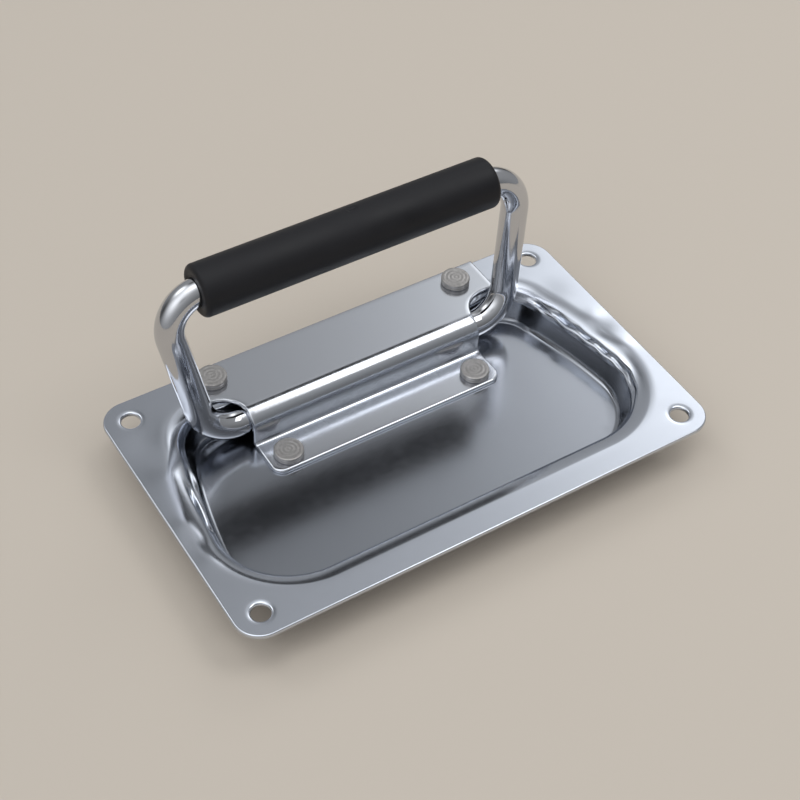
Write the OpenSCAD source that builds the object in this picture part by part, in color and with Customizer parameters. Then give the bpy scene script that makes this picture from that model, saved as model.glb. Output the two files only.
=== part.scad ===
// Recessed pull handle for a flight case.
// A sheet steel dish with a flat screw-down rim, a bent rod bail with a rubber grip sleeve, and a folded
// bracket that traps the bail's rod in the dish and is held by four flat-headed rivets.
// Millimetres. X runs along the handle, +Y is the hinge side, +Z points out of the case.
// The origin is the middle of the four screw holes on the rim's underside, which lies on the case.

/* [Rim] */
// Length of the flat rectangular rim
rim_length = 147; // [130:0.5:170]
// Width of the flat rectangular rim
rim_width = 88; // [78:0.5:110]
// Radius of the rim's outer corners
rim_corner_r = 7.5; // [2:0.5:8]
// Thickness of the sheet that the rim and the dish are drawn from
sheet_t = 1.2; // [0.8:0.1:1.6]

/* [Screw holes] */
// Distance from the rim's two ends to the screw holes
screw_inset_x = 7.5; // [6:0.25:9]
// Distance from the rim's front and rear edges to the screw holes
screw_inset_y = 7.25; // [6:0.25:9]
// Diameter of the screw holes
screw_hole_d = 5.2; // [4:0.1:6]
// Depth to which the punch rolled over the edge of each screw hole
screw_hole_roll = 0.5; // [0.2:0.1:0.7]

/* [Dish] */
// Depth from the rim's top face to the floor of the dish
dish_depth = 10.7; // [10.2:0.1:14]
// Width of the flat rim beside the widest part of the dish's mouth
side_rim = 4.5; // [4:0.1:8]
// Width of the flat rim in front of the mouth
front_rim = 7; // [5:0.1:10]
// Radius of the mouth's two front corners
mouth_front_r = 26; // [18:0.5:28]
// Radius of the floor's two rear corners
floor_rear_r = 8; // [6:0.5:9]
// Radius of the slightly bowed sides, which draw in towards the hinge
mouth_side_r = 150; // [140:5:160]
// Lean of the sides where they leave the front corners, in degrees
side_lean = 6; // [5:0.5:7]
// Radius of the break from the flat rim onto the sloping lip
lip_break_r = 3; // [2:0.1:4]
// Slope of the lip round the mouth, in degrees
lip_slope = 12; // [8:1:15]
// Width of the lip, from the break to the bend
lip_width = 2.8; // [2:0.1:3.2]
// Outside radius of the bend from the lip into the dish
mouth_bend_r = 2.8; // [2:0.1:3.2]
// Inside radius of the bend from the dish's wall to its floor
floor_bend_r = 2; // [1:0.1:2.4]
// Lean of the dish's wall away from upright, in degrees
wall_draft = 10; // [8:1:12]

/* [Bail] */
// Diameter of the bent rod
rod_d = 8; // [7:0.1:8.4]
// Distance from the rim's rear edge to the hinge line
hinge_inset = 18.7; // [18:0.1:20]
// Gap between the folded bail's sides and the edge of the dish's floor
bail_side_gap = 1.95; // [1:0.05:5]
// Centreline radius of the two lower bends
lower_bend_r = 11.2; // [10:0.1:12]
// Centreline radius of the two upper bends
upper_bend_r = 10.2; // [8:0.1:12]
// Outward lean of each leg, in degrees
leg_splay = 9.4; // [7:0.1:10]
// Backward lean of the raised bail against its stop, in degrees
bail_lean = 10.5; // [6:0.1:12]
// Gap between the rod's two ends, which meet inside the bracket
rod_end_gap = 1.5; // [0.5:0.1:4]

/* [Grip] */
// Outside diameter of the rubber sleeve
grip_d = 14.8; // [13:0.1:16]
// Gap between the folded grip and the front edge of the dish's floor
grip_front_gap = 0.3; // [0.2:0.1:4]
// Length of the sleeve that reaches onto each upper bend
grip_overrun = 1.3; // [0.2:0.1:1.5]
// Rounding of the sleeve's ends
grip_end_r = 1.4; // [0.6:0.1:2]
// Play between the sleeve's bore and the rod
grip_play = 0.02; // [0:0.01:0.1]
// Length of the moulding mark on top of the sleeve
mark_length = 3; // [2:0.1:5]
// Width of the moulding mark
mark_width = 1.4; // [1:0.1:2]
// Depth of the moulding mark
mark_depth = 0.5; // [0.2:0.1:1]
// Distance from the sleeve's middle to the moulding mark
mark_offset = 2; // [0:0.5:20]

/* [Bracket] */
// Thickness of the bracket's sheet
bracket_t = 1.2; // [1:0.1:1.4]
// Play between the rod and what holds it
hinge_play = 0.6; // [0.3:0.05:0.8]
// Length of the stop edge beyond each notch of the flange that lies on the rim
stop_edge_length = 4.6; // [3:0.1:6]
// Setback of the rear flange from the rim's edge
rear_setback = 0.1; // [0:0.1:1]
// Distance from each end of the rolled barrel to the start of the rod's lower bend
barrel_end_gap = 1.8; // [1:0.1:4]
// Depth of the flange on the floor, from the barrel's wall to its free edge
front_flange_depth = 12.5; // [12:0.1:14]
// Inside radius of the bend between the barrel's wall and the front flange
foot_bend_r = 1; // [0.6:0.1:1.6]
// Radius of the front flange's corners
front_corner_r = 3.5; // [1:0.1:5]
// Radius of the notch that clears each leg
notch_r = 8; // [6.5:0.1:8.4]
// Gap between the raised bail and the flange's edge that stops it
stop_gap = 0.6; // [0.3:0.1:0.9]

/* [Rivets] */
// Diameter of the rivets' flat heads
rivet_head_d = 8.5; // [7:0.1:9]
// Height of the heads
rivet_head_h = 2.2; // [1.5:0.1:2.6]
// Diameter of the shanks
rivet_shank_d = 4.6; // [4:0.1:5]
// Play of the shanks in their punched holes
rivet_play = 0.05; // [0:0.01:0.2]
// Diameter of the set ends below the sheet
rivet_tail_d = 6; // [5.4:0.1:6.2]
// Height of the front rivets' set ends, which stand out below the dish
rivet_tail_h = 1.4; // [1:0.1:1.8]
// Depth of the rear rivets' set ends, which are sunk flush so that the rim lies flat
rivet_sink_h = 0.7; // [0.4:0.1:0.8]
// Rounding of the heads' rims
rivet_edge_r = 0.45; // [0.2:0.05:0.8]
// Distance from the rear flange's ends to the rear rivets
rear_rivet_end = 9.5; // [6:0.1:14]
// Distance from the front flange's ends to the front rivets
front_rivet_end = 6.5; // [5:0.1:14]
// Distance from the rim's rear edge to the rear rivets
rear_rivet_inset = 6; // [5:0.1:6]
// Distance from the front flange's free edge to the front rivets
front_rivet_inset = 5; // [4.6:0.1:5.4]

/* [Hidden] */
$fn = 72;
// A cutter reaches this far past the face that it goes through.
past = 1;

// A point at radius r and angle a
function polar(r, a) = [r * cos(a), r * sin(a)];

// Levels of the dish
rim_top = sheet_t;
floor_top = rim_top - dish_depth;
floor_bottom = floor_top - sheet_t;

// Upper face of the drawn sheet's section, as [s, z] with s counted inwards from the mouth's edge
break_centre = [0, rim_top - lip_break_r];
lip_start = break_centre + polar(lip_break_r, 90 - lip_slope);
lip_end = lip_start + lip_width * [1, -tan(lip_slope)];
bend_centre = lip_end - polar(mouth_bend_r, 90 - lip_slope);
wall_start = bend_centre + polar(mouth_bend_r, wall_draft);
wall_end_z = floor_top + floor_bend_r * (1 - sin(wall_draft));
wall_end_s = wall_start.x + (wall_start.y - wall_end_z) * tan(wall_draft);
floor_s = wall_end_s + floor_bend_r * cos(wall_draft);

// Hinge line: the barrel's rolled quarter runs level into the rear flange.
rod_r = rod_d / 2;
hinge_y = rim_width / 2 - hinge_inset;
barrel_in_r = rod_r + hinge_play;
barrel_out_r = barrel_in_r + bracket_t;
bracket_top = rim_top + bracket_t;
hinge_z = bracket_top - barrel_out_r;

// Outline of the mouth: the rear wall lies just behind the rod, and the leaning sides join the corners.
mouth_rear_r = floor_rear_r + floor_s;
hinge_s = wall_start.x + (wall_start.y - hinge_z) * tan(wall_draft);
mouth_rear = hinge_y + barrel_in_r / cos(wall_draft) + hinge_s;
mouth_length = rim_length - 2 * side_rim;
mouth_front = rim_width / 2 - front_rim;
front_corner = [mouth_length / 2 - mouth_front_r, mouth_front_r - mouth_front];
side_centre = front_corner - polar(mouth_side_r - mouth_front_r, side_lean);
rear_corner_y = mouth_rear - mouth_rear_r;
side_end = asin((rear_corner_y - side_centre.y) / (mouth_side_r - mouth_rear_r));
rear_corner = [side_centre.x + (mouth_side_r - mouth_rear_r) * cos(side_end), rear_corner_y];

// The drawn section laps the flat rim and the flat floor by this width.
lap = 0.8;
// A bent length is a hair thinner than the straight ones and runs a short way into them, as one solid.
thinning = 0.02;
run_in = 0.05;

// The bail lies in its own plane, with u along the hinge and v up the legs. Folded, it just fits the floor.
bail_half = mouth_length / 2 - floor_s - bail_side_gap;
bail_reach = hinge_y + mouth_front - floor_s - grip_front_gap - grip_d / 2;
lower_turn = 90 - leg_splay;
upper_turn = 90 + leg_splay;
upper_centre = [bail_half - rod_r - upper_bend_r, bail_reach - upper_bend_r];
leg_head = upper_centre + upper_bend_r * [cos(leg_splay), -sin(leg_splay)];
leg_foot_v = lower_bend_r * (1 - cos(lower_turn));
leg_foot = [leg_head.x - (leg_head.y - leg_foot_v) * tan(leg_splay), leg_foot_v];
hinge_length = 2 * (leg_foot.x - lower_bend_r * sin(lower_turn));
grip_length = 2 * (upper_centre.x + grip_overrun);

// The raised legs lean on the rear flange's edge.
stop_y = hinge_y + barrel_out_r * tan(bail_lean) + rod_r / cos(bail_lean) + stop_gap;
rear_edge = rim_width / 2 - rear_setback;
barrel_wall_y = hinge_y - barrel_out_r;
front_edge = barrel_wall_y - front_flange_depth;
front_flange_top = floor_top + bracket_t;
barrel_length = hinge_length - 2 * barrel_end_gap;
rear_flange_length = barrel_length + 2 * (notch_r + stop_edge_length);

// Rivet places, for the right-hand one of each pair
rear_rivet = [rear_flange_length / 2 - rear_rivet_end, rim_width / 2 - rear_rivet_inset];
front_rivet = [barrel_length / 2 - front_rivet_end, front_edge + front_rivet_inset];

// Each rivet clamps the bracket's sheet to the dish's.
rivet_grip = bracket_t + sheet_t;

// Rounded rectangle about the origin
module rounded_plate(size, r) {
  square([size.x - 2 * r, size.y], center = true);
  square([size.x, size.y - 2 * r], center = true);
  for (sx = [-1, 1], sy = [-1, 1])
    translate([sx * (size.x / 2 - r), sy * (size.y / 2 - r)]) circle(r);
}

// Piece of a ring between radii r_in and r_out, from angle a0 through sweep degrees
module ring_piece(r_in, r_out, a0, sweep) {
  intersection() {
    difference() {
      circle(r_out);
      circle(r_in);
    }
    polygon(concat([[0, 0]], [for (i = [0:3]) polar(2 * r_out, a0 + sweep * i / 3)]));
  }
}

// Points along an arc, from angle a0 to angle a1
function arc(centre, r, a0, a1, steps) = [for (i = [0:steps]) centre + polar(r, a0 + (a1 - a0) * i / steps)];

// One face of the drawn sheet, from the rim over the break, down the sloping lip, round the bend, down the
// leaning wall and onto the floor. x counts inwards from the mouth's edge, and depth is how far the face
// lies below the sheet's upper face.
function dish_face(depth) = concat(
  [[-lap, rim_top - depth]],
  arc(break_centre, lip_break_r - depth, 90, 90 - lip_slope, 2),
  arc(bend_centre, mouth_bend_r - depth, 90 - lip_slope, wall_draft, 7),
  arc([floor_s, floor_top + floor_bend_r], floor_bend_r + depth, 180 + wall_draft, 270, 6),
  [[floor_s + lap, floor_top - depth]]);

function reversed(points) = [for (i = [len(points) - 1:-1:0]) points[i]];

// Closed section of the drawn sheet, thinned by skin on both faces
module dish_section(skin = 0) {
  polygon(concat(dish_face(skin), reversed(dish_face(sheet_t - skin))));
}

// The section turned about an arc of the mouth, from angle a0 through sweep degrees
module dish_arc(centre, r, a0, sweep, skin = 0) {
  translate([centre.x, centre.y, 0]) rotate([0, 0, a0])
    rotate_extrude(angle = sweep, $fn = 144) translate([r, 0]) mirror([1, 0]) dish_section(skin);
}

// A corner of the mouth, which runs into the lengths on both sides of it
module dish_corner(centre, r, a0, sweep) {
  extra = run_in / (r - floor_s) * 180 / PI;
  dish_arc(centre, r, a0 - extra, sweep + 2 * extra, thinning);
}

// The section drawn straight along X over a length, starting at the mouth's edge y
module dish_straight(y, length, inwards) {
  translate([0, y, 0]) mirror([0, inwards > 0 ? 0 : 1, 0])
    rotate([90, 0, 90]) linear_extrude(length, center = true) dish_section();
}

// Right-hand half of an outline that runs beside the mouth's edge, further out by the distance out
function beside_mouth(out) = concat(
  arc(front_corner, mouth_front_r + out, -90, side_lean, 7),
  [side_centre + polar(mouth_side_r + out, (side_lean + side_end) / 2)],
  arc(rear_corner, mouth_rear_r + out, side_end, 90, 6));

function mirrored(points) = [for (p = reversed(points)) [-p.x, p.y]];

module outline_beside_mouth(out) {
  half = beside_mouth(out);
  polygon(concat(half, mirrored(half)));
}

module dish_plate() {
  color("lightsteelblue") difference() {
    union() {
      linear_extrude(sheet_t) difference() {
        rounded_plate([rim_length, rim_width], rim_corner_r);
        outline_beside_mouth(lap / 2);
      }
      for (side = [0, 1]) mirror([side, 0, 0]) {
        dish_corner(front_corner, mouth_front_r, -90, 90 + side_lean);
        dish_arc(side_centre, mouth_side_r, side_lean, side_end - side_lean);
        dish_corner(rear_corner, mouth_rear_r, side_end, 90 - side_end);
      }
      dish_straight(-mouth_front, 2 * front_corner.x, 1);
      dish_straight(mouth_rear, 2 * rear_corner.x, -1);
      translate([0, 0, floor_bottom]) linear_extrude(sheet_t) outline_beside_mouth(-floor_s - lap / 2);
    }
    screw_holes();
    rivet_holes();
  }
}

module screw_holes() {
  screw = [rim_length / 2 - screw_inset_x, rim_width / 2 - screw_inset_y];
  for (sx = [-1, 1], sy = [-1, 1]) translate([sx * screw.x, sy * screw.y, 0]) {
    translate([0, 0, -past]) cylinder(d = screw_hole_d, h = sheet_t + 2 * past);
    translate([0, 0, rim_top - screw_hole_roll])
      cylinder(d1 = screw_hole_d, d2 = screw_hole_d + 4 * screw_hole_roll, h = 2 * screw_hole_roll);
  }
}

// Punched holes for all four rivet shanks, through both sheets, and sunk from below for the rear ones
module rivet_holes() {
  hole_d = rivet_shank_d + 2 * rivet_play;
  sink_slope = (rivet_tail_d - rivet_shank_d) / rivet_sink_h;
  for (side = [-1, 1]) {
    translate([side * rear_rivet.x, rear_rivet.y, -past]) {
      cylinder(d = hole_d, h = bracket_top + 2 * past);
      cylinder(d1 = hole_d + sink_slope * (rivet_sink_h + past), d2 = hole_d, h = rivet_sink_h + past);
    }
    translate([side * front_rivet.x, front_rivet.y, floor_bottom - past])
      cylinder(d = hole_d, h = front_flange_top - floor_bottom + 2 * past);
  }
}

// Section of the folded bracket in the Y-Z plane: flange on the rim, rolled quarter, wall, foot, flange on the floor
module bracket_section() {
  foot_z = front_flange_top + foot_bend_r;
  translate([hinge_y, rim_top]) square([rear_edge - hinge_y, bracket_t]);
  translate([hinge_y, hinge_z]) ring_piece(barrel_in_r, barrel_out_r, 90, 90);
  translate([barrel_wall_y, foot_z]) square([bracket_t, hinge_z - foot_z]);
  translate([barrel_wall_y - foot_bend_r, foot_z])
    ring_piece(foot_bend_r, foot_bend_r + bracket_t, -90, 90);
  translate([front_edge, floor_top]) square([front_flange_depth - foot_bend_r, bracket_t]);
}

// Plan of the bracket's blank: a long rear flange and a shorter barrel and front flange,
// with a round notch at each end of the barrel for the bail's legs
module bracket_plan() {
  barrel_half = barrel_length / 2;
  translate([-rear_flange_length / 2, stop_y]) square([rear_flange_length, rear_edge - stop_y]);
  difference() {
    translate([-barrel_half - notch_r, stop_y - notch_r]) square([barrel_length + 2 * notch_r, notch_r]);
    for (side = [-1, 1]) translate([side * (barrel_half + notch_r), stop_y - notch_r]) circle(notch_r);
  }
  translate([-barrel_half, front_edge + front_corner_r])
    square([barrel_length, stop_y - front_edge - front_corner_r]);
  translate([-barrel_half + front_corner_r, front_edge])
    square([barrel_length - 2 * front_corner_r, front_corner_r]);
  for (side = [-1, 1])
    translate([side * (barrel_half - front_corner_r), front_edge + front_corner_r]) circle(front_corner_r);
}

module bracket() {
  color("silver") difference() {
    intersection() {
      rotate([90, 0, 90]) linear_extrude(rear_flange_length, center = true) bracket_section();
      translate([0, 0, floor_top - past]) linear_extrude(bracket_top - floor_top + 2 * past) bracket_plan();
    }
    rivet_holes();
  }
}

// Puts what is drawn in the bail's plane into its raised place
module on_bail() {
  translate([0, hinge_y, hinge_z]) rotate([90 - bail_lean, 0, 0]) children();
}

// Straight rod in the bail's plane from one point to another
module rod(from, to) {
  run = to - from;
  translate([from.x, from.y, 0]) rotate([0, 0, atan2(run.y, run.x)]) rotate([0, 90, 0])
    cylinder(d = rod_d, h = norm(run));
}

// Bent rod in the bail's plane about a centre, from angle a0 through sweep degrees, run into its neighbours
module rod_bend(centre, r, a0, sweep) {
  extra = run_in / r * 180 / PI;
  translate([centre.x, centre.y, 0]) rotate([0, 0, a0 - extra])
    rotate_extrude(angle = sweep + 2 * extra, $fn = 144) translate([r, 0]) circle(rod_r - thinning);
}

module bail() {
  color("gainsboro") on_bail() {
    for (side = [0, 1]) mirror([side, 0, 0]) {
      rod([rod_end_gap / 2, 0], [hinge_length / 2, 0]);
      rod_bend([hinge_length / 2, lower_bend_r], lower_bend_r, -90, lower_turn);
      rod(leg_foot, leg_head);
      rod_bend(upper_centre, upper_bend_r, -leg_splay, upper_turn);
    }
    rod([-upper_centre.x, bail_reach], [upper_centre.x, bail_reach]);
  }
}

// Half section of the sleeve, with x outwards from the rod's centreline. The bore flares over the bends.
module grip_section() {
  bore_r = rod_r + grip_play;
  out_r = grip_d / 2;
  half = grip_length / 2;
  flare = grip_overrun * grip_overrun / 2 / (upper_bend_r - rod_r);
  end = concat(
    [[bore_r, upper_centre.x], [bore_r + flare, half]],
    arc([out_r - grip_end_r, half - grip_end_r], grip_end_r, 90, 0, 6));
  polygon(concat(end, [for (p = reversed(end)) [p.x, -p.y]]));
}

module grip() {
  color("dimgray") on_bail() translate([0, bail_reach, 0]) difference() {
    rotate([0, 90, 0]) rotate_extrude() grip_section();
    // Shallow moulding mark along the top of the sleeve
    translate([mark_offset, grip_d / 2 + mark_width / 2 - mark_depth, 0]) {
      rotate([0, 90, 0]) cylinder(d = mark_width, h = mark_length - mark_width, center = true);
      for (side = [-1, 1]) translate([side * (mark_length - mark_width) / 2, 0, 0]) sphere(d = mark_width);
    }
  }
}

// Rivet through both sheets, whose upper face is at z = 0. Its set end is given as a half section.
module rivet() {
  head_r = rivet_head_d / 2;
  color("darkgray") rotate_extrude() {
    square([head_r - rivet_edge_r, rivet_head_h]);
    square([head_r, rivet_head_h - rivet_edge_r]);
    translate([head_r - rivet_edge_r, rivet_head_h - rivet_edge_r]) intersection() {
      circle(rivet_edge_r);
      square(rivet_edge_r);
    }
    translate([0, -rivet_grip]) square([rivet_shank_d / 2, rivet_grip]);
    translate([0, -rivet_grip]) children();
  }
}

module rear_rivet_at(side) {
  translate([side * rear_rivet.x, rear_rivet.y, bracket_top]) rivet()
    polygon([[0, 0], [rivet_tail_d / 2, 0], [rivet_shank_d / 2, rivet_sink_h], [0, rivet_sink_h]]);
}

module front_rivet_at(side) {
  translate([side * front_rivet.x, front_rivet.y, front_flange_top]) rivet()
    translate([0, -rivet_tail_h]) square([rivet_tail_d / 2, rivet_tail_h]);
}

dish_plate();
bracket();
bail();
grip();
rear_rivet_at(-1);  // rivet_rear_left
rear_rivet_at(1);  // rivet_rear_right
front_rivet_at(-1);  // rivet_front_left
front_rivet_at(1);  // rivet_front_right
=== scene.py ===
import math

import bmesh
import bpy
import numpy as np
from mathutils import Matrix, Vector
from mathutils.geometry import delaunay_2d_cdt


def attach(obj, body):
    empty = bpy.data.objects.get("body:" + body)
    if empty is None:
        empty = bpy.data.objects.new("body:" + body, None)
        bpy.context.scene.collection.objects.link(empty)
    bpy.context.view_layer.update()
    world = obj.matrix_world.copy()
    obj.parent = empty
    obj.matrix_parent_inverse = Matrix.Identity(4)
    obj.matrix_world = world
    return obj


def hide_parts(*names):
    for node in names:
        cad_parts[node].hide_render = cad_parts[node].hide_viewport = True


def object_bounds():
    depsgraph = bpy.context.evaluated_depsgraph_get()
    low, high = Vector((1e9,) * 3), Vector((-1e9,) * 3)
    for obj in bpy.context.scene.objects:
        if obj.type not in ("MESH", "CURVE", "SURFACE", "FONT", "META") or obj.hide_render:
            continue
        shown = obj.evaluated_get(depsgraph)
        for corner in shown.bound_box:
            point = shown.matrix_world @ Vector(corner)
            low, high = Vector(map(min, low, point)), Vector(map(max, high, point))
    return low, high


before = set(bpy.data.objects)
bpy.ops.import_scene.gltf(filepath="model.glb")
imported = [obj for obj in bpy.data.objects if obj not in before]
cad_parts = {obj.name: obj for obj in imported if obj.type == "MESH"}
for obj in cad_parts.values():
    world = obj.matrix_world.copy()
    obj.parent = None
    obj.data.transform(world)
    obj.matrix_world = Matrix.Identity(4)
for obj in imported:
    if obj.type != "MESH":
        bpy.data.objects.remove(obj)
cad_box = [list(corner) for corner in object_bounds()]
scene = bpy.context.scene
scene.view_settings.view_transform = "Standard"


# Camera. It stands in front of the handle, to the left and above, and is tilted by three degrees.
camera_place = Vector((-0.16976, -0.24374, 0.32568))
camera_aim = Vector((0.00146, 0.00652, 0.0012))
camera_roll = math.radians(3.236)
camera = bpy.data.objects.new("camera", bpy.data.cameras.new("camera"))
camera.data.lens = 72.11
camera.data.sensor_width = 36
camera.data.clip_start = 0.01
camera_turn = (camera_aim - camera_place).to_track_quat("-Z", "Y").to_matrix().to_4x4()
camera.matrix_world = (
    Matrix.Translation(camera_place) @ camera_turn @ Matrix.Rotation(camera_roll, 4, "Z")
)
scene.collection.objects.link(camera)
scene.camera = camera


# Studio. A pale warm table top, a dim sky with a few soft bright and dark places, and one large soft lamp
# high on the right, which draws the white streak along the rolled barrel.
table_half = 1.5
table_gap = 0.0001
table_z = cad_box[0][2] - table_gap
table_colour = (0.60, 0.54, 0.47, 1)


def input_node(tree, kind, **settings):
    """A new node of that kind, with its settings and with numbers or colours on its named sockets."""
    node = tree.nodes.new(kind)
    for name, value in settings.items():
        if hasattr(node, name):
            setattr(node, name, value)
        else:
            node.inputs[name.replace("_", " ")].default_value = value
    return node


def join(tree, *pairs):
    """Links each pair of sockets, from an output to an input."""
    for start, end in pairs:
        tree.links.new(start, end)


def direction(azimuth, elevation):
    """Unit vector towards an azimuth from X and an elevation above the table, both in degrees."""
    a, e = math.radians(azimuth), math.radians(elevation)
    return Vector((math.cos(e) * math.cos(a), math.cos(e) * math.sin(a), math.sin(e)))


table_mesh = bpy.data.meshes.new("table")
table_corners = [(x * table_half, y * table_half, table_z) for x, y in ((-1, -1), (1, -1), (1, 1), (-1, 1))]
table_mesh.from_pydata(table_corners, [], [(0, 1, 2, 3)])
table = bpy.data.objects.new("table", table_mesh)
scene.collection.objects.link(table)
table_paint = bpy.data.materials.new("table_paint")
table_paint.use_nodes = True
table_shader = table_paint.node_tree.nodes["Principled BSDF"]
table_shader.inputs["Base Color"].default_value = table_colour
table_shader.inputs["Roughness"].default_value = 0.9
table_shader.inputs["Specular IOR Level"].default_value = 0.1
table_mesh.materials.append(table_paint)

sky = bpy.data.worlds.new("sky")
scene.world = sky
sky.use_nodes = True
sky_tree = sky.node_tree
sky_tree.nodes.clear()
sky_out = sky_tree.nodes.new("ShaderNodeOutputWorld")
sky_light = sky_tree.nodes.new("ShaderNodeBackground")
sky_way = sky_tree.nodes.new("ShaderNodeTexCoord")


def sky_spot(azimuth, elevation, width, strength):
    """Socket with a soft spot of light: strength where the way matches, fading as exp((cos - 1) / width),
    where cos is that of the angle between the two ways."""
    dot = input_node(sky_tree, "ShaderNodeVectorMath", operation="DOT_PRODUCT")
    dot.inputs[1].default_value = direction(azimuth, elevation)
    steep = input_node(sky_tree, "ShaderNodeMath", operation="MULTIPLY_ADD")
    steep.inputs[1].default_value = 1 / width
    steep.inputs[2].default_value = -1 / width
    fade = input_node(sky_tree, "ShaderNodeMath", operation="EXPONENT")
    size = input_node(sky_tree, "ShaderNodeMath", operation="MULTIPLY")
    size.inputs[1].default_value = strength
    join(sky_tree,
         (sky_way.outputs["Generated"], dot.inputs[0]),
         (dot.outputs["Value"], steep.inputs[0]),
         (steep.outputs[0], fade.inputs[0]),
         (fade.outputs[0], size.inputs[0]))
    return size.outputs[0]


# The plain sky is a little brighter overhead. Each spot adds to it, or takes from it where it is dark.
sky_height = sky_tree.nodes.new("ShaderNodeSeparateXYZ")
sky_base = input_node(sky_tree, "ShaderNodeMapRange", To_Min=0.33, To_Max=0.40)
join(sky_tree,
     (sky_way.outputs["Generated"], sky_height.inputs[0]),
     (sky_height.outputs["Z"], sky_base.inputs["Value"]))
sky_sum = sky_base.outputs["Result"]
for azimuth, elevation, width, strength in (
        (37, 38, 0.016, 2.0),
        (88, 55, 0.016, -0.38),
        (120, 50, 0.02, 2.4),
        (-165, 50, 0.12, 1.2),
        (38, -2, 0.03, -0.33),
        (-125, 48, 0.012, -0.35),
        (-68, 8, 0.10, -0.15),
        (145, 16, 0.08, -0.30),
        (0, 89, 0.05, 1.9)):
    add = input_node(sky_tree, "ShaderNodeMath", operation="ADD")
    spot = sky_spot(azimuth, elevation, width, strength)
    join(sky_tree, (sky_sum, add.inputs[0]), (spot, add.inputs[1]))
    sky_sum = add.outputs[0]
sky_light.inputs["Color"].default_value = (0.97, 0.985, 1.0, 1)
join(sky_tree, (sky_sum, sky_light.inputs["Strength"]), (sky_light.outputs[0], sky_out.inputs["Surface"]))


def soft_lamp(name, azimuth, elevation, roll, distance, width, height, power):
    """Rectangular lamp that looks at the handle from a way given in degrees, rolled about its own axis."""
    place = distance * direction(azimuth, elevation)
    lamp = bpy.data.objects.new(name, bpy.data.lights.new(name, "AREA"))
    lamp.data.shape = "RECTANGLE"
    lamp.data.size = width
    lamp.data.size_y = height
    lamp.data.energy = power
    turn = (-place).to_track_quat("-Z", "Y").to_matrix().to_4x4()
    lamp.matrix_world = Matrix.Translation(place) @ turn @ Matrix.Rotation(math.radians(roll), 4, "Z")
    scene.collection.objects.link(lamp)


soft_lamp(
    "right_lamp", azimuth=-24, elevation=62, roll=38, distance=1.0, width=0.62, height=0.32, power=1.5)


# Dish plate. One sheet of zinc-plated steel, 1.2 mm thick, blanked with a flat rim and four screw holes.
# The press draws the dish in one stroke: it breaks the rim down into a sloping lip, bends it over a steep
# wall and leaves folds along the tops of the side walls, where the sheet gathers.
MM = 0.001
SHEET = 1.2
RIM = (147.0, 88.0)
RIM_CORNER = 7.5
DISH_DEPTH = 10.7
LIP_BREAK = 3.0
LIP_SLOPE = math.radians(12)
LIP_WIDTH = 2.8
MOUTH_BEND = 2.8
FLOOR_BEND = 2.0
WALL_LEAN = math.radians(10)
FRONT_Y = -37.0
FRONT_CORNER = 26.0
SIDE_BOW = 150.0
SIDE_LEAN = math.radians(6)
FLOOR_CORNER = 8.0
HALF_MOUTH = 69.0
HINGE_Y = 25.3
HINGE_Z = -3.4
BARREL_IN = 4.6
RIM_STRIP = 3.0
STRIP_STEPS = 6
BREAK_STEPS = 4
LIP_STEPS = 8
LIP_ROWS = STRIP_STEPS + BREAK_STEPS + LIP_STEPS + 1
SAG_START = -2
SAG_DEPTH = 1.3
SAG_POWER = 2.5
SAG_FADE = (-8, -2)
FRONT_SAG = 0.25
DENT_FADE = 2.5
RIM_NET = 1.25
FLOOR_NET = 2.5
floor_top = SHEET - DISH_DEPTH
break_centre = np.array([0, SHEET - LIP_BREAK])
lip_way = np.array([math.sin(LIP_SLOPE), math.cos(LIP_SLOPE)])
lip_end = break_centre + LIP_BREAK * lip_way + LIP_WIDTH * np.array([1, -math.tan(LIP_SLOPE)])
bend_centre = lip_end - MOUTH_BEND * lip_way
wall_top = bend_centre + MOUTH_BEND * np.array([math.cos(WALL_LEAN), math.sin(WALL_LEAN)])
wall_foot_z = floor_top + FLOOR_BEND * (1 - math.sin(WALL_LEAN))
floor_s = wall_top[0] + (wall_top[1] - wall_foot_z) * math.tan(WALL_LEAN) + FLOOR_BEND * math.cos(WALL_LEAN)


def arc(centre, radius, start, stop, count, ends=True):
    """Points at even angles on a circle, from start to stop in radians, with or without the last one."""
    angle = np.linspace(start, stop, count + 1)[:None if ends else -1]
    return np.stack([centre[0] + radius * np.cos(angle), centre[1] + radius * np.sin(angle)], -1)


def line(start, stop, count):
    """Points at even steps from start to just before stop."""
    step = np.linspace(0, 1, count + 1)[:-1, None]
    return np.asarray(start) * (1 - step) + np.asarray(stop) * step


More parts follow.
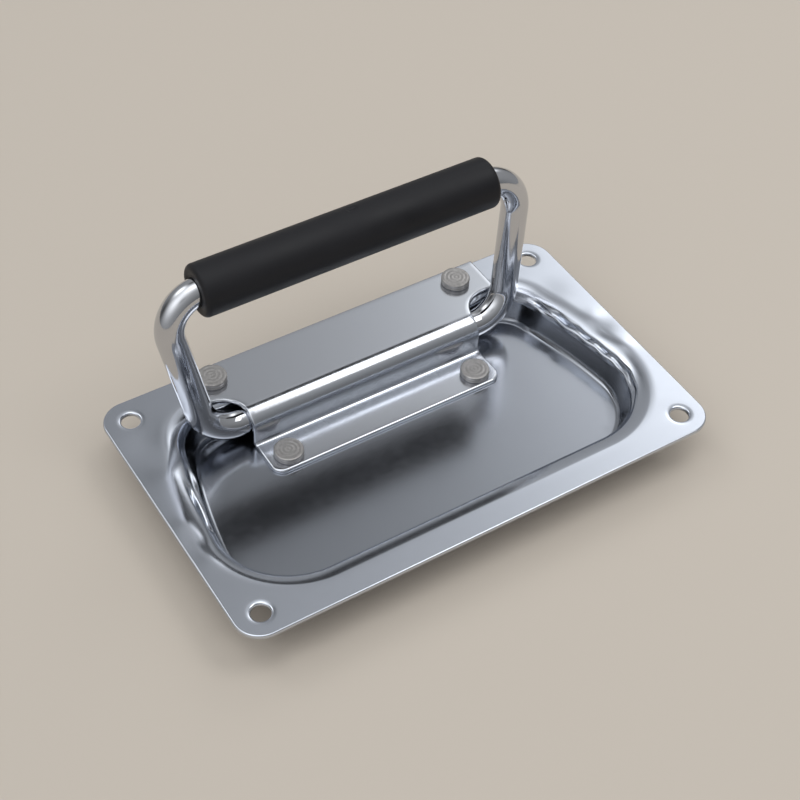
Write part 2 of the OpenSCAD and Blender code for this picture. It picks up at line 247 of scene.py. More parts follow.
def mouth_outline(out):
    """Closed line beside the mouth's edge, further out by that distance: straight front, wide front corner,
    bowed side, rear corner and straight rear, then the same mirrored. Radii grow by the distance."""
    rear_r = FLOOR_CORNER + floor_s
    behind_rod = wall_top[0] + (wall_top[1] - HINGE_Z) * math.tan(WALL_LEAN)
    rear_y = HINGE_Y + BARREL_IN / math.cos(WALL_LEAN) + behind_rod
    front = (HALF_MOUTH - FRONT_CORNER, FRONT_Y + FRONT_CORNER)
    side_run = SIDE_BOW - FRONT_CORNER
    side = (front[0] - side_run * math.cos(SIDE_LEAN), front[1] - side_run * math.sin(SIDE_LEAN))
    side_end = math.asin((rear_y - rear_r - side[1]) / (SIDE_BOW - rear_r))
    rear = (side[0] + (SIDE_BOW - rear_r) * math.cos(side_end), rear_y - rear_r)
    half = np.concatenate([
        line((0, FRONT_Y - out), (front[0], FRONT_Y - out), 40),
        arc(front, FRONT_CORNER + out, -math.pi / 2, SIDE_LEAN, 60, ends=False),
        arc(side, SIDE_BOW + out, SIDE_LEAN, side_end, 70, ends=False),
        arc(rear, rear_r + out, side_end, math.pi / 2, 34, ends=False),
        line((rear[0], rear_y + out), (0, rear_y + out), 44)])
    other = half[1:][::-1] * (-1, 1)
    return np.concatenate([half, [[0, rear_y + out]], other])


def rim_outline(inset):
    """Closed line of the blank's edge, a rectangle with rounded corners, set in by that distance: each side
    is followed by the corner at its end."""
    hx, hy = RIM[0] / 2 - RIM_CORNER, RIM[1] / 2 - RIM_CORNER
    r = RIM_CORNER - inset
    corners = np.array([(hx, -hy), (hx, hy), (-hx, hy), (-hx, -hy)])
    parts = []
    for turn, corner in enumerate(corners):
        start = (turn - 1) * math.pi / 2
        out = (r * math.cos(start), r * math.sin(start))
        parts.append(line(corners[turn - 1] + out, corner + out, (110, 62)[turn % 2]))
        parts.append(arc(corner, r, start, start + math.pi / 2, 20, ends=False))
    return np.concatenate(parts)


def drawn_section(depth):
    """Rows (s, z) of one face of the drawn sheet, depth below its upper face, with s from the mouth's edge
    inwards: a strip of the flat rim, the break, the sloping lip, the bend, the leaning wall and the floor
    bend. All three bends keep their centres, so the sheet keeps its thickness."""
    lip_turn = math.pi / 2 - LIP_SLOPE
    strip = line((-RIM_STRIP, SHEET - depth), (0, SHEET - depth), STRIP_STEPS)
    break_bend = arc(break_centre, LIP_BREAK - depth, math.pi / 2, lip_turn, BREAK_STEPS)
    wall_bend = arc(bend_centre, MOUTH_BEND - depth, lip_turn, WALL_LEAN, 26)
    floor_centre = (floor_s, floor_top + FLOOR_BEND)
    floor_bend = arc(floor_centre, FLOOR_BEND + depth, math.pi + WALL_LEAN, 1.5 * math.pi, 10)
    lip = line(break_bend[-1], wall_bend[0], LIP_STEPS)[1:]
    wall = line(wall_bend[-1], floor_bend[0], 14)[1:]
    return np.concatenate([strip, break_bend, lip, wall_bend, wall, floor_bend])


def sag(s, z, beside):
    """How far the section sinks on a side of the mouth, in mm, where the sheet rolls over softly instead of
    breaking: to SHEET - SAG_DEPTH t^SAG_POWER, with t rising from 0 on the rim to 1 at the lip's end and a
    little on, fading down the wall. Beside is 1 on the sides and least in front."""
    lip = drawn_section(0)[:LIP_ROWS]
    t = np.clip((s - SAG_START) / (lip_end[0] - SAG_START), 0, 1.2)
    straight = np.interp(s[:, 0], lip[:, 0], lip[:, 1])[:, None]
    drop = straight - (SHEET - SAG_DEPTH * t ** SAG_POWER)
    return beside * drop * np.clip((z - SAG_FADE[0]) / (SAG_FADE[1] - SAG_FADE[0]), 0, 1)


def bell(value, middle, half, power=2):
    """Bell curve of height 1 round its middle, with that half width. A power of 4 flattens its top."""
    return np.exp(-((value - middle) / half) ** power)


def bells(y, heights):
    """Sum of bell curves along a side, from their middles, half widths and heights in mm."""
    return sum(height * bell(y, middle, half) for middle, half, height in heights)


def fold(x, y, reach):
    """How deep the sheet is folded in below its smooth face, in mm, at that reach down the section from the
    lip's end. The right side has a narrow wandering groove under the lip, in a row of bells, with a faint
    ridge below it. The left side has one short, deep, slanting groove, and a shelf that stands out below it
    and towards the hinge."""
    slot = bells(y, (
        (21, 2.6, 0.7),
        (11, 4.4, 1.3),
        (2.5, 2.6, 0.8),
        (-4, 2.8, 0.7),
        (-12, 5, 0.5),
        (-20, 5, 0.4)))
    below = reach - 0.15 * np.sin(2 * np.pi * (y - 1.5) / 7.7)
    right = slot * (bell(below, 0.8, 0.42) - 0.3 * bell(below, 1.9, 0.5))
    slanted = reach + 0.11 * (y - 2)
    pocket = bells(y, ((1.0, 4.6, 2.4), (6.5, 3.0, 0.8))) * bell(slanted, 0.8, 0.75, power=4)
    shelf = bells(y, ((12.5, 4.5, 0.9), (4, 4.0, 0.4), (-9, 4.0, 0.2))) * bell(reach, 2.5, 0.7)
    on_side = np.abs(x) > 40
    return np.where(x > 0, right, pocket - shelf) * on_side


def rim_dent(x, y):
    """How far the rim is dented upwards, in mm: a sum of soft round dents beside the mouth, each given by
    its middle, its reach and its height."""
    return sum(height * np.exp(-((x - dent_x) ** 2 + (y - dent_y) ** 2) / spread ** 2)
               for dent_x, dent_y, spread, height in (
                   (69.5, -7, 3.2, 0.20),
                   (67.5, 1, 3.0, -0.22),
                   (69, 7, 3.0, 0.14),
                   (-70, -2, 3.0, 0.14),
                   (-69.5, -9, 3.2, -0.14),
                   (-69, -16, 3.5, 0.10),
                   (-65, 27, 6.0, -0.30),
                   (-66, 16, 5.0, 0.22),
                   (63, 22, 5.0, -0.14)))


def grid_faces(rows, cols, closed=True, flip=False):
    """Quads of a grid whose points are stored row by row; closed joins the last column to the first."""
    r, c = np.meshgrid(np.arange(rows - 1), np.arange(cols if closed else cols - 1), indexing="ij")
    a, b = r * cols + c, r * cols + (c + 1) % cols
    quads = np.stack([a, b, b + cols, a + cols], -1).reshape(-1, 4)
    return quads[:, ::-1] if flip else quads


def inside_loop(points, loop):
    """Which points lie inside a closed line, by the count of its edges that a level ray crosses."""
    a, b = loop[None], np.roll(loop, -1, 0)[None]
    px, py = points[:, None, 0], points[:, None, 1]
    spans = (a[..., 1] > py) != (b[..., 1] > py)
    rise = np.where(b[..., 1] == a[..., 1], 1, b[..., 1] - a[..., 1])
    crossing = a[..., 0] + (py - a[..., 1]) * (b[..., 0] - a[..., 0]) / rise
    return (spans & (px < crossing)).sum(1) % 2 == 1


def flat_net(edge, holes, spacing):
    """Delaunay net of a flat region: the points of its edge and holes, with a staggered grid between."""
    loops = [edge] + holes
    lo, hi = edge.min(0), edge.max(0)
    gx, gy = np.meshgrid(np.arange(lo[0], hi[0], spacing), np.arange(lo[1], hi[1], spacing * 0.866))
    gx = gx + (np.arange(len(gx)) % 2 * spacing / 2)[:, None]
    grid = np.stack([gx.ravel(), gy.ravel()], -1)
    border = np.concatenate(loops)
    near = np.sqrt(((grid[:, None] - border[None]) ** 2).sum(-1)).min(1)
    within = inside_loop(grid, edge)
    for hole in holes:
        within &= ~inside_loop(grid, hole)
    points = np.concatenate([border, grid[within & (near > 0.6 * spacing)]])
    edges, start = [], 0
    for loop in loops:
        index = start + np.arange(len(loop))
        edges.append(np.stack([index, np.roll(index, -1)], -1))
        start += len(loop)
    found = delaunay_2d_cdt(
        [Vector(p) for p in points], np.concatenate(edges).tolist(), [], 0, 1e-6, False)
    net = np.array([tuple(p) for p in found[0]])
    triangles = np.array([f for f in found[2] if len(f) == 3])
    middle = net[triangles].mean(1)
    keep = inside_loop(middle, edge)
    for hole in holes:
        keep &= ~inside_loop(middle, hole)
    return net, triangles[keep]


def closed_piece(name, parts, body, slot, *nodes):
    """Joins (points in mm, faces) parts into one smooth closed mesh with outward faces, and makes it the
    piece that stands for those nodes on that body."""
    points, faces, start = [], [], 0
    for part_points, part_faces in parts:
        points.append(part_points)
        faces += (np.asarray(part_faces) + start).tolist()
        start += len(part_points)
    mesh = bpy.data.meshes.new(name)
    mesh.from_pydata((np.concatenate(points) * MM).tolist(), [], faces)
    shell = bmesh.new()
    shell.from_mesh(mesh)
    bmesh.ops.remove_doubles(shell, verts=shell.verts, dist=0.002 * MM)
    bmesh.ops.dissolve_degenerate(shell, edges=shell.edges, dist=0.0005 * MM)
    bmesh.ops.recalc_face_normals(shell, faces=shell.faces)
    shell.to_mesh(mesh)
    shell.free()
    mesh.shade_smooth()
    piece = bpy.data.objects.new(name, mesh)
    scene.collection.objects.link(piece)
    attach(piece, body)
    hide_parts(*nodes)
    return piece


def drawn_face(depth, blank_edge, hole_edges):
    """One face of the whole sheet, depth below its upper face: the net of the rim between the blank's edge,
    the holes' edges and the mouth, the section carried round the mouth, and the floor. Folds and sag are
    worked out on the upper face, so that the lower one follows it."""
    section, upper = drawn_section(depth), drawn_section(0)
    s, z = section[:, :1], section[:, 1:]
    mouth = mouth_outline(0)
    way = mouth_outline(1) - mouth
    reach = np.concatenate([[0], np.cumsum(np.hypot(*np.diff(upper, axis=0).T))])
    reach = (reach - reach[LIP_ROWS - 1])[:, None]
    slope = np.gradient(upper, axis=0)
    slope /= np.hypot(*slope.T)[:, None]
    folded = fold(mouth[None, :, 0], mouth[None, :, 1], reach)
    beside = FRONT_SAG + (1 - FRONT_SAG) * way[None, :, 0] ** 2
    rows = np.stack([mouth_outline(-value) for value in section[:, 0]])
    rows = rows - way[None] * (folded * slope[:, 1:])[..., None]
    heights = z - folded * slope[:, :1] - sag(upper[:, :1], upper[:, 1:], beside)
    heights = heights + rim_dent(rows[..., 0], rows[..., 1]) * np.exp(-np.maximum(s, 0) / DENT_FADE)
    drawn = np.concatenate([rows, heights[..., None]], -1).reshape(-1, 3)
    net, triangles = flat_net(blank_edge, [rows[0]] + hole_edges, RIM_NET)
    rim = np.column_stack([net, SHEET - depth + rim_dent(net[:, 0], net[:, 1])])
    floor_net, floor_triangles = flat_net(rows[-1], [], FLOOR_NET)
    floor = np.column_stack([floor_net, np.full(len(floor_net), floor_top - depth)])
    order = -1 if depth else 1
    return [(drawn, grid_faces(len(section), len(mouth), flip=not depth)),
            (rim, triangles[:, ::order]),
            (floor, floor_triangles[:, ::order])]


# The blanked edge of the rim is rounded on its upper side and sharp below.
EDGE_ROUND = 0.4
EDGE_STRIP = 0.9
edge_profile = np.concatenate([
    [(EDGE_STRIP, SHEET), (EDGE_ROUND + 0.05, SHEET)],
    arc((EDGE_ROUND, SHEET - EDGE_ROUND), EDGE_ROUND, math.pi / 2, math.pi, 6),
    [(0, 0.15), (0.04, 0.04), (0.15, 0), (EDGE_STRIP, 0)]])
rim_edge_rows = []
for inset, height in edge_profile:
    row = rim_outline(inset)
    rim_edge_rows.append(np.column_stack([row, height + rim_dent(row[:, 0], row[:, 1])]))

# Each screw hole is punched from above, so the sheet sinks a little round it, its upper edge is rolled down
# and its wall is straight.
SCREW_X = 66.0
SCREW_Y = 36.75
SCREW_R = 2.6
SCREW_ROLL = 0.5
SCREW_DISH = 0.10
DISH_RING = 1.1
dished = np.linspace(SCREW_R + SCREW_ROLL + DISH_RING, SCREW_R + SCREW_ROLL, 7)
dished = np.column_stack([dished, SHEET - SCREW_DISH * ((dished[0] - dished) / DISH_RING) ** 2])
dish_tilt = math.atan(2 * SCREW_DISH / DISH_RING)
hole_roll = SCREW_ROLL / (1 - math.sin(dish_tilt))
roll_centre = (SCREW_R + hole_roll, SHEET - SCREW_DISH - hole_roll * math.cos(dish_tilt))
hole_profile = np.concatenate([
    dished,
    arc(roll_centre, hole_roll, math.pi / 2 + dish_tilt, math.pi, 8)[1:],
    [(SCREW_R, 0.05), (SCREW_R + 0.05, 0), (SCREW_R + 0.5, 0)]])
screw_hole_rows = []
for side_x, side_y in ((-1, -1), (1, -1), (1, 1), (-1, 1)):
    hole_rows = []
    for radius, height in hole_profile:
        ring = arc((side_x * SCREW_X, side_y * SCREW_Y), radius, 0, 2 * math.pi, 56, ends=False)
        hole_rows.append(np.column_stack([ring, height + rim_dent(ring[:, 0], ring[:, 1])]))
    screw_hole_rows.append(hole_rows)

sheet_parts = []
for depth, edge in ((0, 0), (SHEET, -1)):
    hole_edges = [hole_rows[edge][:, :2] for hole_rows in screw_hole_rows]
    sheet_parts += drawn_face(depth, rim_edge_rows[edge][:, :2], hole_edges)
for edge_rows in [rim_edge_rows] + screw_hole_rows:
    sheet_parts.append((np.concatenate(edge_rows), grid_faces(len(edge_rows), len(edge_rows[0]))))
dish_sheet = closed_piece("dish_sheet", sheet_parts, "base", "dish_steel", "dish_plate")


def plated_steel(name, colour, shade, rough, rough_change, grain, grain_depth, patches=38):
    """Polished metal with a cloudy tint between two colours, roughness that varies with the same cloud and
    with finer scuffs, and a fine grain as bump. Patterns lie on object coordinates."""
    steel = bpy.data.materials.new(name)
    steel.use_nodes = True
    tree = steel.node_tree
    shader = tree.nodes["Principled BSDF"]
    shader.inputs["Metallic"].default_value = 1
    where = tree.nodes.new("ShaderNodeTexCoord")
    cloud = input_node(tree, "ShaderNodeTexNoise", Scale=patches, Detail=4, Roughness=0.55)
    tint = input_node(tree, "ShaderNodeMix", data_type="RGBA")
    tint.inputs["A"].default_value = (*colour, 1)
    tint.inputs["B"].default_value = (*shade, 1)
    scuffs = input_node(tree, "ShaderNodeTexNoise", Scale=420, Detail=5, Roughness=0.7)
    mixed = input_node(tree, "ShaderNodeMath", operation="MULTIPLY")
    spread = input_node(
        tree, "ShaderNodeMapRange", From_Min=0.12, From_Max=0.42, To_Min=rough, To_Max=rough + rough_change)
    fine = input_node(tree, "ShaderNodeTexNoise", Scale=grain, Detail=3, Roughness=0.6)
    bump = input_node(tree, "ShaderNodeBump", Strength=1, Distance=grain_depth)
    for noise in (cloud, scuffs, fine):
        join(tree, (where.outputs["Object"], noise.inputs["Vector"]))
    join(tree,
         (cloud.outputs["Fac"], tint.inputs["Factor"]),
         (tint.outputs["Result"], shader.inputs["Base Color"]),
         (cloud.outputs["Fac"], mixed.inputs[0]),
         (scuffs.outputs["Fac"], mixed.inputs[1]),
         (mixed.outputs[0], spread.inputs["Value"]),
         (spread.outputs["Result"], shader.inputs["Roughness"]),
         (fine.outputs["Fac"], bump.inputs["Height"]),
         (bump.outputs["Normal"], shader.inputs["Normal"]))
    return steel


drawn_steel = plated_steel(
    "drawn_zinc_steel", colour=(0.66, 0.70, 0.77), shade=(0.60, 0.63, 0.70),
    rough=0.15, rough_change=0.05, grain=2400, grain_depth=0.002 * MM)
dish_sheet.data.materials.append(drawn_steel)

# Painted shade: the tint is dimmed by the depth below the rim, so the sheet is painted darker down in the
# dish.
drawn_tree = drawn_steel.node_tree
drawn_colour = drawn_tree.nodes["Principled BSDF"].inputs["Base Color"]
drawn_tint = drawn_colour.links[0].from_socket
depth_way = drawn_tree.nodes.new("ShaderNodeSeparateXYZ")
# Painted shade: the tint is scaled from 1.0 at the rim to 0.60 down in the dish.
painted_depth_shade = input_node(
    drawn_tree, "ShaderNodeMapRange", From_Min=-7 * MM, From_Max=-1 * MM, To_Min=0.60, To_Max=1.0)
shade_dimmed_tint = input_node(drawn_tree, "ShaderNodeVectorMath", operation="SCALE")
join(drawn_tree,
     (drawn_tree.nodes["Texture Coordinate"].outputs["Object"], depth_way.inputs[0]),
     (depth_way.outputs["Z"], painted_depth_shade.inputs["Value"]),
     (drawn_tint, shade_dimmed_tint.inputs[0]),
     (painted_depth_shade.outputs["Result"], shade_dimmed_tint.inputs["Scale"]),
     (shade_dimmed_tint.outputs[0], drawn_colour))


# Bracket. A strip of the same steel, pressed into a Z: one flange lies on the rim, a rolled quarter covers
# the hinge rod, and a second flange lies on the dish's floor. Two round notches clear the bail's legs.
BRACKET = 1.2
REAR_EDGE = 43.9
STOP_Y = 31.043
NOTCH = 8.0
BARREL_HALF = 37.322
FLANGE_HALF = BARREL_HALF + 12.6
FRONT_EDGE = 7.0
FOOT_BEND = 1.0
FLANGE_CORNER = 3.5
FLANGE_ROWS = 11
barrel_out = BARREL_IN + BRACKET
wall_y = HINGE_Y - barrel_out
foot_z = floor_top + BRACKET + FOOT_BEND


def fold_rows(inset):
    """Rows (y, z, ny, nz, half width) down the folded strip's upper face, from the rear edge to the front
    one, with the face's normal and the plan's half width at that row. The plan is set in by that distance
    all round: the notches' radii grow by it and the front corners' radii shrink."""
    notch, corner_r = NOTCH + inset, FLANGE_CORNER - inset
    notch_y, corner_y = STOP_Y - NOTCH, FRONT_EDGE + FLANGE_CORNER
    flat = np.concatenate([
        line((REAR_EDGE - inset, 0), (STOP_Y + inset, 0), FLANGE_ROWS - 1)[:, 0],
        notch_y + notch * np.sin(np.linspace(math.pi / 2, math.asin((HINGE_Y - notch_y) / notch), 16))])
    rows = [(y, SHEET + BRACKET, 0, 1) for y in flat]
    for a in np.linspace(0, math.pi / 2, 29)[1:]:
        down, over = math.cos(a), math.sin(a)
        rows.append((HINGE_Y - barrel_out * over, HINGE_Z + barrel_out * down, -over, down))
    for z in np.linspace(HINGE_Z, foot_z, 7)[1:-1]:
        rows.append((wall_y, z, -1, 0))
    for a in np.linspace(0, math.pi / 2, 9):
        out, down = math.cos(a), math.sin(a)
        rows.append((wall_y - FOOT_BEND + FOOT_BEND * out, foot_z - FOOT_BEND * down, -out, down))
    for y in line((wall_y - FOOT_BEND, 0), (corner_y, 0), 12)[1:, 0]:
        rows.append((y, floor_top + BRACKET, 0, 1))
    for a in np.linspace(0, math.pi / 2, 13):
        rows.append((corner_y - corner_r * math.sin(a), floor_top + BRACKET, 0, 1))
    rows = np.array(rows, float)
    y = rows[:, 0]
    into_notch = np.clip(y - notch_y, 0, notch)
    into_corner = np.clip(corner_y - y, 0, corner_r)
    half = BARREL_HALF + NOTCH - np.sqrt(np.maximum(notch ** 2 - into_notch ** 2, 0))
    half = half - corner_r + np.sqrt(np.maximum(corner_r ** 2 - into_corner ** 2, 0))
    return np.column_stack([rows, half])


def strip_points(rows, xs, depth):
    """Points on the strip at those rows and places across it, depth below its upper face."""
    y = rows[:, 0] - depth * rows[:, 2]
    z = rows[:, 1] - depth * rows[:, 3]
    return np.stack([xs, np.broadcast_to(y[:, None], xs.shape), np.broadcast_to(z[:, None], xs.shape)], -1)


def strip_patches(inset, depth):
    """The strip's three grids at that inset and depth: its middle, and an ear beyond each notch."""
    rows = fold_rows(inset)
    ear = np.linspace(BARREL_HALF + NOTCH, FLANGE_HALF - inset, 5)
    ears = [strip_points(rows[:FLANGE_ROWS], np.broadcast_to(side * ear, (FLANGE_ROWS, 5)), depth)
            for side in (-1, 1)]
    return [strip_points(rows, rows[:, 4:5] * np.linspace(-1, 1, 61)[None], depth)] + ears


def strip_borders(patches):
    """The lines of points along the free edges of the strip's three grids."""
    core = patches[0]
    borders = [core[0], core[-1], core[FLANGE_ROWS - 1:, 0], core[FLANGE_ROWS - 1:, -1]]
    for ear in patches[1:]:
        borders += [ear[:, -1], ear[0], ear[-1]]
    return borders


# The strip's free edges are rounded above, where the punch drew them down, and nearly sharp below.
EDGE_R = 0.65
BURR = 0.12
edge_turn = np.linspace(0, math.pi / 2, 6)
edge_steps = [(EDGE_R * (1 - math.sin(a)), EDGE_R * (1 - math.cos(a))) for a in edge_turn]
edge_steps += [(0, BRACKET - BURR), (BURR, BRACKET)]
edge_patches = [strip_patches(inset, depth) for inset, depth in edge_steps]
bracket_parts = []
for patch in edge_patches[0] + edge_patches[-1]:
    bracket_parts.append((patch.reshape(-1, 3), grid_faces(*patch.shape[:2], closed=False)))
for steps in zip(*(strip_borders(patches) for patches in edge_patches)):
    bracket_parts.append((np.concatenate(steps), grid_faces(len(steps), len(steps[0]), closed=False)))
bracket_strip = closed_piece("bracket_strip", bracket_parts, "base", "bracket_steel", "bracket")
bracket_strip.data.materials.append(plated_steel(
    "folded_zinc_steel", colour=(0.66, 0.69, 0.74), shade=(0.60, 0.62, 0.67),
    rough=0.15, rough_change=0.07, grain=2400, grain_depth=0.002 * MM))


# Rivets. Four plain steel rivets with flat heads, pressed and left dull. They clamp the bracket to the rim
# and to the floor. The rear ones are set flush below the rim, the front ones are upset below the dish.
HEAD_R = 4.25
HEAD_H = 2.2
HEAD_EDGE = 0.45
SHANK_R = 2.3
TAIL_R = 3.0
TAIL_H = 1.4
HEAD_CROWN = 0.05
RING_DEPTH = 0.044
RING_STEP = 1.15
clamped = SHEET + BRACKET
rear_rivet = (FLANGE_HALF - 9.5, 38.0, SHEET + BRACKET)
front_rivet = (BARREL_HALF - 6.5, 12.0, floor_top + BRACKET)


def turned_piece(profile, count):
    """Points and faces of a profile (r, z) turned about the Z axis. Its two end points lie on the axis."""
    angle = np.linspace(0, 2 * np.pi, count, endpoint=False)[None]
    r, z = profile[1:-1, :1], profile[1:-1, 1:]
    rings = np.stack([r * np.cos(angle), r * np.sin(angle), np.broadcast_to(z, (len(r), count))], -1)
    points = np.concatenate([rings.reshape(-1, 3), [[0, 0, profile[0, 1]], [0, 0, profile[-1, 1]]]])
    ring = np.arange(count)
    following = (ring + 1) % count
    first, last = len(r) * count, len(r) * count + 1
    base = (len(r) - 1) * count
    caps = [np.stack([np.full(count, first), following, ring], -1),
            np.stack([np.full(count, last), base + ring, base + following], -1)]
    return [(points, grid_faces(len(r), count)), (points, np.concatenate(caps))]


def rivet_profile(tail):
    """Half outline of a rivet from the head's middle, over faint pressed rings, round its edge and down."""
    r = np.linspace(0, HEAD_R - HEAD_EDGE, 40)
    rings = RING_DEPTH / 2 * (1 - np.cos(2 * np.pi * r / RING_STEP))
    face = HEAD_H - HEAD_CROWN * (r / HEAD_R) ** 2 - rings
    edge_centre = (HEAD_R - HEAD_EDGE, HEAD_H - HEAD_EDGE - HEAD_CROWN)
    edge = arc(edge_centre, HEAD_EDGE, math.pi / 2, 0, 7)[1:]
    groove = [(HEAD_R, 1.3), (HEAD_R - 0.05, 1.1), (HEAD_R - 0.2, 1.0), (HEAD_R - 0.2, 0.9)]
    skirt = [(HEAD_R - 0.03, 0.75), (HEAD_R - 0.03, 0.4), (HEAD_R - 0.3, 0.15), (HEAD_R - 0.35, 0)]
    side = groove + skirt + [(SHANK_R, 0)]
    return np.concatenate([np.column_stack([r, face]), edge, side, tail])


flush_tail = [
    (SHANK_R, 0.7 - clamped),
    (TAIL_R, 0.03 - clamped),
    (TAIL_R - 0.1, -0.03 - clamped),
    (1.5, -0.05 - clamped),
    (0, -0.05 - clamped)]
upset_tail = [
    (SHANK_R, -clamped),
    (TAIL_R - 0.2, -clamped),
    (TAIL_R, -0.25 - clamped),
    (TAIL_R, 0.3 - TAIL_H - clamped),
    (TAIL_R - 0.3, 0.02 - TAIL_H - clamped),
    (1.5, -TAIL_H - clamped),
    (0, -TAIL_H - clamped)]
rivet_steel = plated_steel(
    "dull_rivet_steel", colour=(0.60, 0.58, 0.57), shade=(0.31, 0.30, 0.29),
    rough=0.32, rough_change=0.16, grain=700, grain_depth=0.06 * MM, patches=900)
for row, place, tail in (("rear", rear_rivet, flush_tail), ("front", front_rivet, upset_tail)):
    for side, way in (("left", -1), ("right", 1)):
        node = f"rivet_{row}_{side}"
        stand = (way * place[0], place[1], place[2])
        turned = [(points + stand, faces) for points, faces in turned_piece(rivet_profile(tail), 72)]
        rivet = closed_piece(node + "_turned", turned, "base", "rivet_steel", node)
        rivet.data.materials.append(rivet_steel)


# Bail. One length of 8 mm steel rod, bent four times in one plane and chrome plated. Its ends butt inside
# the barrel, and it leans back by ten and a half degrees on the bracket's rear flange.
ROD_R = 4.0
LEAN = math.radians(10.5)
SPLAY = math.radians(9.4)
LOWER_BEND = 11.2
UPPER_BEND = 10.2
REACH = 45.95
UPPER_X = 44.2
ROD_GAP = 1.5
ROD_CHAMFER = 0.4
leg_head_u = UPPER_X + UPPER_BEND * math.cos(SPLAY)
leg_head = np.array([leg_head_u, REACH - UPPER_BEND * (1 + math.sin(SPLAY))])
leg_foot_v = LOWER_BEND * (1 - math.sin(SPLAY))
leg_foot = np.array([leg_head[0] - (leg_head[1] - leg_foot_v) * math.tan(SPLAY), leg_foot_v])
hinge_half = leg_foot[0] - LOWER_BEND * math.cos(SPLAY)


def raised(u, v, w):
    """Puts (u along the hinge, v up the legs, w out of the bail's plane) into the row's frame."""
    y = HINGE_Y + v * math.sin(LEAN) - w * math.cos(LEAN)
    z = HINGE_Z + v * math.cos(LEAN) + w * math.sin(LEAN)
    return np.stack(np.broadcast_arrays(u, y, z), -1)


def rod_line():
    """Centreline (u, v) from one butted end round the bail to the other."""
    start = (ROD_GAP / 2, 0)
    low = arc((hinge_half, LOWER_BEND), LOWER_BEND, -math.pi / 2, -SPLAY, 36, ends=False)
    high = arc((UPPER_X, REACH - UPPER_BEND), UPPER_BEND, -SPLAY, math.pi / 2, 44, ends=False)
    half = np.concatenate([line(start, (hinge_half, 0), 14), low, line(leg_foot, leg_head, 20), high,
                           line((UPPER_X, REACH), (0, REACH), 20)])
    return np.concatenate([half, [[0, REACH]], half[1:][::-1] * (-1, 1), [[-ROD_GAP / 2, 0]]])


def swept_rod(centre, radius, count):
    """Rod along a flat line: rings of points at that radius, square to the line, with chamfered closed
    ends."""
    along = np.gradient(centre, axis=0)
    along /= np.linalg.norm(along, axis=1)[:, None]
    side = np.stack([along[:, 1], -along[:, 0]], -1)
    line_of = np.concatenate([
        centre[:1],
        centre[:1] + ROD_CHAMFER * along[:1],
        centre[1:-1],
        centre[-1:] - ROD_CHAMFER * along[-1:],
        centre[-1:]])
    side_of = np.concatenate([side[:1], side, side[-1:]])
    radii = np.full(len(line_of), radius)
    radii[[0, -1]] = radius - ROD_CHAMFER
    angle = np.linspace(0, 2 * np.pi, count, endpoint=False)
    flat = line_of[:, None] + side_of[:, None] * (radii[:, None] * np.cos(angle))[..., None]
    rings = raised(flat[..., 0], flat[..., 1], radii[:, None] * np.sin(angle)[None])
    ends = [raised(*line_of[0], 0), raised(*line_of[-1], 0)]
    points = np.concatenate([rings.reshape(-1, 3), ends])
    ring = np.arange(count)
    following = (ring + 1) % count
    base = (len(line_of) - 1) * count
    caps = np.concatenate([
        np.stack([np.full(count, base + count), following, ring], -1),
        np.stack([np.full(count, base + count + 1), base + ring, base + following], -1)])
    return [(points, grid_faces(len(line_of), count)), (points, caps)]


bail_rod = closed_piece("bail_rod", swept_rod(rod_line(), ROD_R, 96), "bail", "rod_chrome", "bail")
bail_rod.data.materials.append(plated_steel(
    "polished_chrome", colour=(0.64, 0.65, 0.68), shade=(0.54, 0.55, 0.58),
    rough=0.06, rough_change=0.07, grain=900, grain_depth=0.003 * MM))


# Grip. A sleeve of black rubber, moulded as a tube and pushed over the rod before the last bend is made.
# Its ends are rounded and a small moulding mark sits on top.
GRIP_R = 7.4
GRIP_HALF = 45.5
GRIP_END = 1.4
BORE_R = 4.02
BORE_FLARE = 0.14
MARK_U = 2.0
MARK_HALF = (1.3, 0.75)
MARK_DEPTH = 0.5
MARK_ROOM = 4


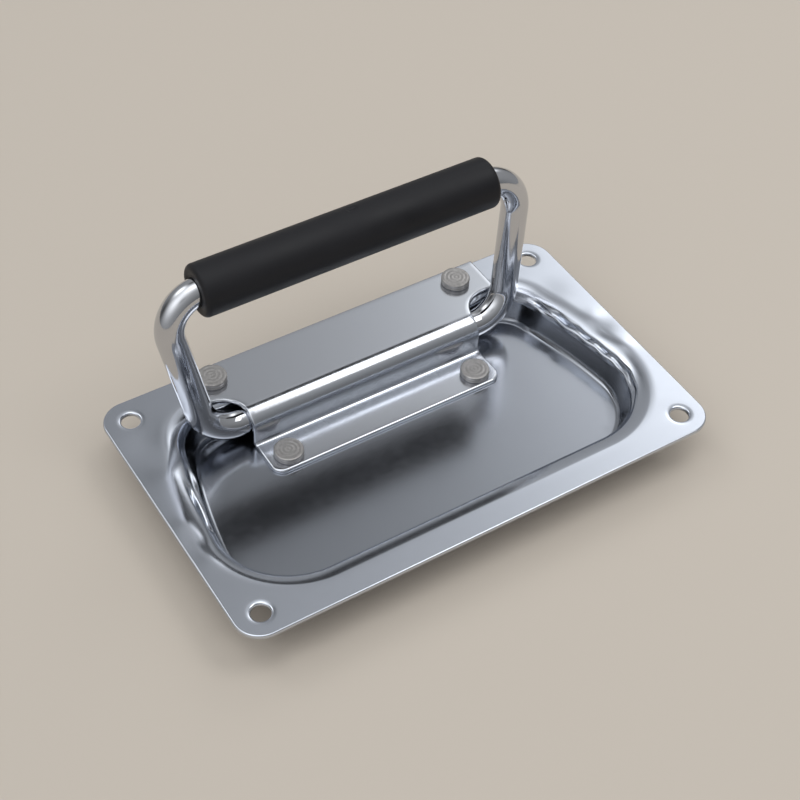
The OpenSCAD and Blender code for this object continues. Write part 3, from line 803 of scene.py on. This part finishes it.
def sleeve():
    """Closed sleeve: stations along the rod, crowded at the ends and at the mark, times angles that crowd
    towards the mark. The radius is that of the tube, less the dimple of the mark, a soft oval."""
    end_centre = (-GRIP_HALF + GRIP_END, GRIP_R - GRIP_END)
    end = np.concatenate([
        [(BORE_R + BORE_FLARE, -GRIP_HALF), (GRIP_R - GRIP_END, -GRIP_HALF)],
        arc(end_centre, GRIP_END, math.pi, math.pi / 2, 10)[1:, ::-1]])
    body = np.concatenate([
        np.linspace(GRIP_END - GRIP_HALF, MARK_U - MARK_ROOM, 30)[1:-1],
        np.linspace(-MARK_ROOM, MARK_ROOM, 41) + MARK_U,
        np.linspace(MARK_U + MARK_ROOM, GRIP_HALF - GRIP_END, 30)[1:-1]])
    tube = np.column_stack([np.full(len(body), GRIP_R), body])
    bore = [(BORE_R, UPPER_X), (BORE_R, -UPPER_X)]
    profile = np.concatenate([end, tube, end[::-1] * (1, -1), bore])
    turn = np.linspace(0, 2 * np.pi, 160, endpoint=False)
    angle = turn - 0.35 * np.sin(turn)
    r, u = profile[:, :1], profile[:, 1:]
    round_it = GRIP_R * np.sin(angle / 2) * 2
    sink = np.exp(-((u - MARK_U) / MARK_HALF[0]) ** 4 - (round_it / MARK_HALF[1]) ** 2)
    r = r - MARK_DEPTH * sink * (r > GRIP_R - 0.01)
    points = raised(np.broadcast_to(u, r.shape), REACH + r * np.cos(angle), r * np.sin(angle))
    closed = np.concatenate([points, points[:1]])
    return [(closed.reshape(-1, 3), grid_faces(len(closed), len(turn)))]


grip_sleeve = closed_piece("grip_sleeve", sleeve(), "bail", "grip_rubber", "grip")
rubber = bpy.data.materials.new("black_rubber")
rubber.use_nodes = True
rubber_tree = rubber.node_tree
rubber_shader = rubber_tree.nodes["Principled BSDF"]
rubber_shader.inputs["Specular IOR Level"].default_value = 0.25
rubber_where = rubber_tree.nodes.new("ShaderNodeTexCoord")
rubber_cloud = input_node(rubber_tree, "ShaderNodeTexNoise", Scale=60, Detail=5, Roughness=0.6)
rubber_tint = input_node(rubber_tree, "ShaderNodeMix", data_type="RGBA")
rubber_tint.inputs["A"].default_value = (0.008, 0.008, 0.010, 1)
rubber_tint.inputs["B"].default_value = (0.018, 0.018, 0.021, 1)
rubber_rough = input_node(
    rubber_tree, "ShaderNodeMapRange", From_Min=0.3, From_Max=0.7, To_Min=0.42, To_Max=0.6)
rubber_grain = input_node(rubber_tree, "ShaderNodeTexNoise", Scale=1400, Detail=4, Roughness=0.65)
rubber_bump = input_node(rubber_tree, "ShaderNodeBump", Strength=1, Distance=0.03 * MM)
for noise in (rubber_cloud, rubber_grain):
    join(rubber_tree, (rubber_where.outputs["Object"], noise.inputs["Vector"]))
join(rubber_tree,
     (rubber_cloud.outputs["Fac"], rubber_tint.inputs["Factor"]),
     (rubber_tint.outputs["Result"], rubber_shader.inputs["Base Color"]),
     (rubber_cloud.outputs["Fac"], rubber_rough.inputs["Value"]),
     (rubber_rough.outputs["Result"], rubber_shader.inputs["Roughness"]),
     (rubber_grain.outputs["Fac"], rubber_bump.inputs["Height"]),
     (rubber_bump.outputs["Normal"], rubber_shader.inputs["Normal"]))
grip_sleeve.data.materials.append(rubber)
